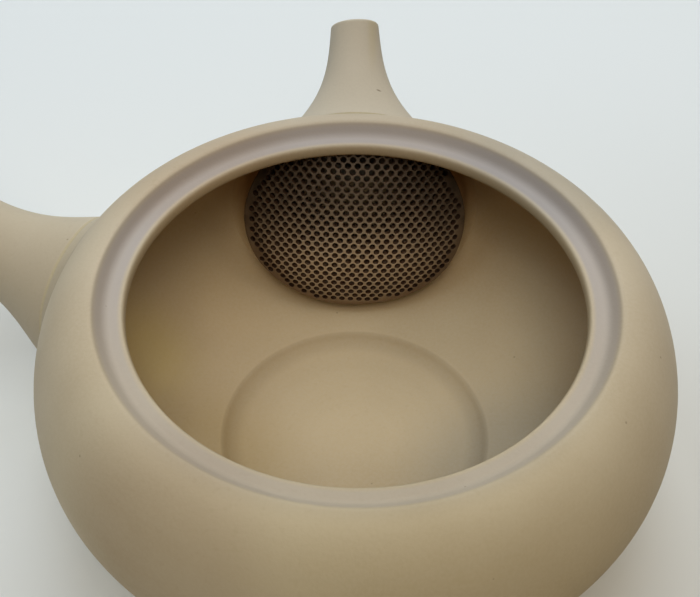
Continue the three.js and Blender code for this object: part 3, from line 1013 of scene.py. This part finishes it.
def ramp(tree, value, low, high, to_low=0.0, to_high=1.0):
    """Value carried from one range onto another, clamped, with soft ends."""
    made = add(tree, "ShaderNodeMapRange", {
        "Value": value, "From Min": low, "From Max": high, "To Min": to_low, "To Max": to_high,
    }, interpolation_type="SMOOTHSTEP")
    return made.outputs["Result"]


def maths(tree, operation, a, b=0.0):
    return add(tree, "ShaderNodeMath", {0: a, 1: b}, operation=operation).outputs[0]


def times(tree, a, b):
    return maths(tree, "MULTIPLY", a, b)


def blend(tree, factor, a, b, kind="MIX"):
    made = add(tree, "ShaderNodeMix", {0: factor, 6: a, 7: b}, data_type="RGBA", blend_type=kind)
    return made.outputs[2]


def shaded(tree, colour, tint):
    """Colour multiplied by a tint."""
    return blend(tree, 1.0, colour, tint, "MULTIPLY")


def point_distance(tree, where, place, weights=(1, 1, 1)):
    """Distance from a place given in millimetres, each axis with its weight."""
    scaled = add(tree, "ShaderNodeVectorMath", {0: where, 1: weights}, operation="MULTIPLY").outputs["Vector"]
    centre = tuple(c * w * MM for c, w in zip(place, weights))
    return add(tree, "ShaderNodeVectorMath", {0: scaled, 1: centre}, operation="DISTANCE").outputs["Value"]


def ring_mask(tree, level, ring):
    """Full between a ring's two middle distances, fading to nothing at the first and the last."""
    inner, inner_full, outer_full, outer = (value * MM for value in ring)
    return times(tree, ramp(tree, level, inner, inner_full), ramp(tree, level, outer, outer_full))


def tinted(tree, colour, value, low, high, at_low, at_high):
    """Colour multiplied by a tint that runs from one to the other over millimetres of a coordinate."""
    return shaded(tree, colour, blend(tree, ramp(tree, value, low * MM, high * MM), at_low, at_high))


def patched(tree, colour, at, tints):
    """Colour multiplied by tints, each strongest at its place and gone at the end of its patch."""
    for place, tint in tints:
        off = point_distance(tree, at["where"], place)
        colour = tinted(tree, colour, off, PATCH_FULL, PATCH_END, tint, WHITE)
    return colour


def rim_marks(tree, colour, at):
    """Ground seat; painted shade as a dark line along the band's outer edge, on the rim's near side and under
    the lip; and the shoulder's patches of painted light and shade.
    """
    top = ramp(tree, at["Z"], (RIM_HEIGHT - 5) * MM, (RIM_HEIGHT - 4) * MM)
    for ring, near, far, at_near, at_far, paint, kind in RIM_MARKS:
        part = times(tree, ring_mask(tree, at["level"], ring), top)
        part = times(tree, part, ramp(tree, at["Y"], near * MM, far * MM, at_near, at_far))
        colour = blend(tree, part, colour, paint, kind)
    # Painted shade on the lip's inner rounding
    colour = tinted(tree, colour, at["level"], MOUTH_RADIUS, MOUTH_RADIUS + 0.6, UNDER_LIP_SHADE_TINT, WHITE)
    return patched(tree, colour, at, PAINTED_LIGHT_SHOULDER_TINTS)


def strainer_distance(tree, at):
    """Distance from the strainer's middle, measured so that its outline is nearly a circle."""
    return point_distance(tree, at["where"], (0, STRAINER_DEPTH_AT, STRAINER_HEIGHT), (1, 1, 1.13))


def bowl_marks(tree, colour, at):
    """Olive tea stain on the left wall; painted shade in darker rings on the well's slope and round the
    strainer's joint with the wall; painted warm and cool light and shade on the near walls.
    """
    ragged = times(tree, at["clouds"], 14 * MM)
    stain = maths(tree, "ADD", point_distance(tree, at["where"], STAIN_PLACE), ragged)
    colour = blend(tree, ramp(tree, stain, 9 * MM, 21 * MM, 0.4, 0.0), colour, OLIVE)
    colour = blend(tree, times(tree, ring_mask(tree, at["level"], WELL_SLOPE_SHADE_RING), 0.2), colour, SPECK_AND_SHADE_BROWN)
    colour = patched(tree, colour, at, PAINTED_LIGHT_NEAR_WALLS)
    edge = ring_mask(tree, strainer_distance(tree, at), STRAINER_JOINT_SHADE_RING)
    return blend(tree, times(tree, edge, 0.4), colour, JOINT_SHADE_BROWN)


def sieve_shade_marks(tree, colour, at, far_shade_tint=(0.15, 0.14, 0.14, 1)):
    """Painted shade on the strainer: at its edge, away from its lit middle, at its foot and at its sides."""
    colour = tinted(tree, colour, strainer_distance(tree, at), 18.2, 20.6, WHITE, (0.55, 0.47, 0.4, 1))
    far = point_distance(tree, at["where"], STRAINER_LIT_PLACE, (0.6, 0, 1))
    colour = tinted(tree, colour, far, 6, 23, WHITE, far_shade_tint)
    colour = tinted(tree, colour, at["Z"], 12, 24, (0.68, 0.67, 0.66, 1), WHITE)
    return tinted(tree, colour, maths(tree, "ABSOLUTE", at["X"]), 6, 20, WHITE, (0.76, 0.76, 0.76, 1))


def bore_shade_marks(tree, colour, at):
    """The strainer's painted shade, fainter towards its far parts, inside its holes."""
    return sieve_shade_marks(tree, colour, at, (0.6, 0.58, 0.55, 1))


def spout_marks(tree, colour, at):
    """A dark scratch near the root, and a faint olive streak down from the tip."""
    scratch = point_distance(tree, at["where"], SCRATCH_PLACE, (0.5, 1, 0.1))
    colour = blend(tree, ramp(tree, scratch, 0.12 * MM, 0.34 * MM, 0.6, 0.0), colour, SPECK_AND_SHADE_BROWN)
    streak = point_distance(tree, at["where"], STREAK_PLACE, (1, 0.12, 0.12))
    return blend(tree, ramp(tree, streak, 0.2 * MM, 1.5 * MM, 0.35, 0.0), colour, STREAK)


def fresh(name):
    """New material, and its node tree without nodes."""
    material = bpy.data.materials.new(name)
    material.use_nodes = True
    material.node_tree.nodes.clear()
    return material, material.node_tree


def coordinates(tree):
    """What marks are placed by: X, Y and Z, all three as where, the distance from +Z as level, and clouds."""
    where = add(tree, "ShaderNodeTexCoord").outputs["Object"]
    place = add(tree, "ShaderNodeSeparateXYZ", {"Vector": where})
    at = {axis: place.outputs[axis] for axis in "XYZ"}
    flat = add(tree, "ShaderNodeCombineXYZ", {"X": at["X"], "Y": at["Y"]}).outputs["Vector"]
    at["where"] = where
    at["level"] = add(tree, "ShaderNodeVectorMath", {0: flat}, operation="LENGTH").outputs["Value"]
    at["clouds"] = noise(tree, where, CLOUD_SCALE, 3)
    return at


def speckled(tree, colour, where):
    """Colour with small dark specks, one in a few of a fine pattern's cells."""
    cells = add(tree, "ShaderNodeTexVoronoi", {"Vector": where, "Scale": SPECK_SCALE, "Randomness": 1.0})
    rare = add(tree, "ShaderNodeSeparateColor", {"Color": cells.outputs["Color"]}).outputs["Red"]
    small = ramp(tree, cells.outputs["Distance"], 0.03, 0.07, 1.0, 0.0)
    speck = times(tree, small, ramp(tree, rare, 0.68, 0.8))
    return blend(tree, times(tree, speck, 0.4), colour, SPECK_AND_SHADE_BROWN)


def matt(tree, colour, roughness, shine, relief, strength, depth):
    """Shader output of a rough surface, with a relief as deep as the given millimetres."""
    bump = add(tree, "ShaderNodeBump", {"Height": relief, "Strength": strength, "Distance": depth * MM})
    return add(tree, "ShaderNodeBsdfPrincipled", {
        "Base Color": colour, "Roughness": roughness,
        "Normal": bump.outputs["Normal"], "Specular IOR Level": shine,
    }).outputs["BSDF"]


def clay(name, pale, deep, tints=(), marks=None):
    """Matt unglazed clay: clouds, sand grain, dark specks, faint turning lines, its tints of painted light
    and shade, and its marks.
    """
    material, tree = fresh(name)
    at = coordinates(tree)
    colour = blend(tree, ramp(tree, at["clouds"], 0.35, 0.68), pale, deep)
    grain = noise(tree, at["where"], GRAIN_SCALE, 2, 0.65)
    colour = blend(tree, ramp(tree, grain, 0.3, 0.7, 0.0, 0.16), colour, SAND)
    pits = noise(tree, at["where"], PIT_SCALE, 1)
    colour = blend(tree, ramp(tree, pits, 0.6, 0.75, 0.0, 0.22), colour, deep)
    for coordinate, low, high, at_low, at_high in tints:
        colour = tinted(tree, colour, at[coordinate], low, high, at_low, at_high)
    if marks:
        colour = marks(tree, colour, at)
    colour = speckled(tree, colour, at["where"])
    turning = add(tree, "ShaderNodeCombineXYZ", {"X": at["level"], "Z": at["Z"]}).outputs["Vector"]
    lines = noise(tree, turning, LINE_SCALE, 2)
    colour = blend(tree, ramp(tree, lines, 0.35, 0.7, 0.0, 0.1), colour, deep)
    relief = maths(tree, "ADD", times(tree, grain, 0.6), times(tree, lines, 0.5))
    roughness = ramp(tree, at["clouds"], 0.3, 0.7, 0.66, 0.78)
    shader = matt(tree, colour, roughness, 0.35, relief, 0.35, 0.12)
    add(tree, "ShaderNodeOutputMaterial", {"Surface": shader})
    return material


def paper(name):
    """Pale sheet with painted shade, darker near the viewer and most of all on the right, fading to the
    backdrop.
    """
    material, tree = fresh(name)
    where = add(tree, "ShaderNodeTexCoord").outputs["Object"]
    place = add(tree, "ShaderNodeSeparateXYZ", {"Vector": where})
    near = blend(tree, ramp(tree, place.outputs["X"], -80 * MM, 80 * MM), SHEET_LEFT, SHEET_RIGHT)
    colour = blend(tree, ramp(tree, place.outputs["Y"], -100 * MM, 150 * MM), near, SHEET_FAR)
    shader = matt(tree, colour, 0.9, 0.2, noise(tree, where, FIBRE_SCALE, 3), 0.1, 0.1)
    seen = add(tree, "ShaderNodeLightPath").outputs["Is Camera Ray"]
    reach = add(tree, "ShaderNodeVectorMath", {0: where}, operation="LENGTH").outputs["Value"]
    fade = times(tree, seen, ramp(tree, reach, 190 * MM, 420 * MM))
    backdrop = add(tree, "ShaderNodeEmission", {"Color": BACKDROP, "Strength": 1.0})
    both = add(tree, "ShaderNodeMixShader", {0: fade, 1: shader, 2: backdrop.outputs[0]})
    add(tree, "ShaderNodeOutputMaterial", {"Surface": both.outputs[0]})
    return material


def finish_piece(piece, body, node, slot, *materials):
    """Gives a piece its materials and body, and hides the frame's node. Its slot is not used."""
    for material in materials:
        piece.data.materials.append(material)
    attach(piece, body)
    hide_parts(node)


# Clays and pieces
pot_clay = clay("pot_clay", CLAY_PALE, CLAY_DEEP, [PAINTED_LIGHT_NEAR_TO_SIDES, PAINTED_SHADE_SIDES_TO_FAR], rim_marks)
bowl_clay = clay("bowl_clay", BOWL_PALE, BOWL_DEEP, [PAINTED_SHADE_FLOOR_TO_LIP, PAINTED_SHADE_BOWL_RIGHT], bowl_marks)
lid_clay = clay("lid_clay", CLAY_PALE, CLAY_DEEP)
handle_clay = clay("handle_clay", CLAY_PALE, CLAY_DEEP, [PAINTED_SHADE_UNDER_HANDLE])
# Spout's clay, paler and greyer than the pot's: painted cool light
spout_clay = clay("spout_clay", srgb(202, 194, 179), srgb(191, 182, 165), (), spout_marks)
# Spout's inside, darker: painted shade
spout_inside_shade_clay = clay("spout_inside_shade_clay", srgb(128, 98, 70), srgb(108, 82, 58))
seam_clay = clay("seam_clay", srgb(183, 171, 141), srgb(174, 162, 133))
sieve_clay = clay("sieve_clay", srgb(197, 173, 140), srgb(179, 156, 126), (), sieve_shade_marks)
# Walls of the strainer's holes, dark brown: painted shade
bore_shade_clay = clay("bore_shade_clay", srgb(102, 66, 38), srgb(84, 53, 30), (), bore_shade_marks)

finish_piece(make_pot(), "pot", "pot_body", "clay", pot_clay, bowl_clay)
finish_piece(make_spout(), "pot", "spout", "clay", spout_clay, seam_clay, spout_inside_shade_clay)
finish_piece(make_handle(), "pot", "side_handle", "clay", handle_clay, seam_clay, handle_clay)
finish_piece(make_strainer(), "pot", "strainer", "strainer_clay", sieve_clay, bore_shade_clay)
finish_piece(make_lid(), "lid", "lid", "clay", lid_clay)
finish_piece(make_knob(), "lid", "lid_knob", "clay", lid_clay)


# Stage
FLOOR_REACH = 3000


def make_floor():
    """Pale sheet under the pot, wide enough to end out of sight."""
    ring = [(FLOOR_REACH * math.cos(a), FLOOR_REACH * math.sin(a), 0) for a in full_turn(FLOOR_SIDES)]
    floor = new_object("floor", ring, [list(range(FLOOR_SIDES))])
    floor.data.materials.append(paper("pale_sheet"))


def make_world():
    """Faint even light, and the backdrop as the camera sees it."""
    world = bpy.data.worlds.new("studio")
    bpy.context.scene.world = world
    world.use_nodes = True
    tree = world.node_tree
    tree.nodes.clear()
    seen = add(tree, "ShaderNodeLightPath").outputs["Is Camera Ray"]
    light = add(tree, "ShaderNodeBackground", {"Color": (1.0, 0.99, 0.97, 1), "Strength": 0.06})
    backdrop = add(tree, "ShaderNodeBackground", {"Color": BACKDROP, "Strength": 1.0})
    both = add(tree, "ShaderNodeMixShader", {0: seen, 1: light.outputs[0], 2: backdrop.outputs[0]})
    add(tree, "ShaderNodeOutputWorld", {"Surface": both.outputs[0]})


def make_lamp(name, place, colour, power, size=500, target=(0, 0, 20)):
    """Square soft lamp, with its place in millimetres and its power in watts."""
    data = bpy.data.lights.new(name, "AREA")
    data.shape = "SQUARE"
    data.size = size * MM
    data.energy = power
    data.color = colour
    lamp = linked(name, data)
    lamp.location = Vector(place) * MM
    lamp.rotation_euler = (Vector(target) - Vector(place)).to_track_quat("-Z", "Y").to_euler()


# Camera as the photo was taken: place, angles in degrees, and focal length in photo pixels
CAMERA_PLACE = (0, -115.7, RIM_HEIGHT + 118.4)
CAMERA_PITCH = 46.56
CAMERA_YAW = -0.52
CAMERA_ROLL = 0.51
CAMERA_FOCUS = 1061
PHOTO_WIDTH = 700
SENSOR_WIDTH = 36


def make_camera():
    pitch, yaw, roll = (math.radians(a) for a in (CAMERA_PITCH, CAMERA_YAW, CAMERA_ROLL))
    turn = Matrix.Rotation(-yaw, 4, "Z") @ Matrix.Rotation(math.pi / 2 - pitch, 4, "X")
    turn = turn @ Matrix.Rotation(roll, 4, "Z")
    data = bpy.data.cameras.new("camera")
    data.sensor_fit = "HORIZONTAL"
    data.sensor_width = SENSOR_WIDTH
    data.lens = CAMERA_FOCUS * SENSOR_WIDTH / PHOTO_WIDTH
    data.clip_start = 10 * MM
    camera = linked("camera", data)
    camera.matrix_world = Matrix.Translation(Vector(CAMERA_PLACE) * MM) @ turn
    bpy.context.scene.camera = camera


make_floor()
make_world()
make_lamp("ceiling_middle", (0, 0, 1100), (0.94, 0.98, 1.0), 2.0)
make_lamp("ceiling_right", (550, 0, 950), (1.0, 0.85, 0.66), 1.8)
make_lamp("ceiling_left", (-550, 0, 950), (0.8, 0.92, 1.0), 1.9)
make_lamp("ceiling_back", (0, 550, 950), (0.86, 0.93, 1.0), 1.9)
make_lamp("ceiling_front", (0, -550, 950), (1.0, 0.87, 0.7), 3.3)
make_lamp("window", (0, 1000, 450), (0.95, 1.0, 0.99), 3.6, size=600)
make_camera()
bpy.context.scene.view_settings.view_transform = "Standard"
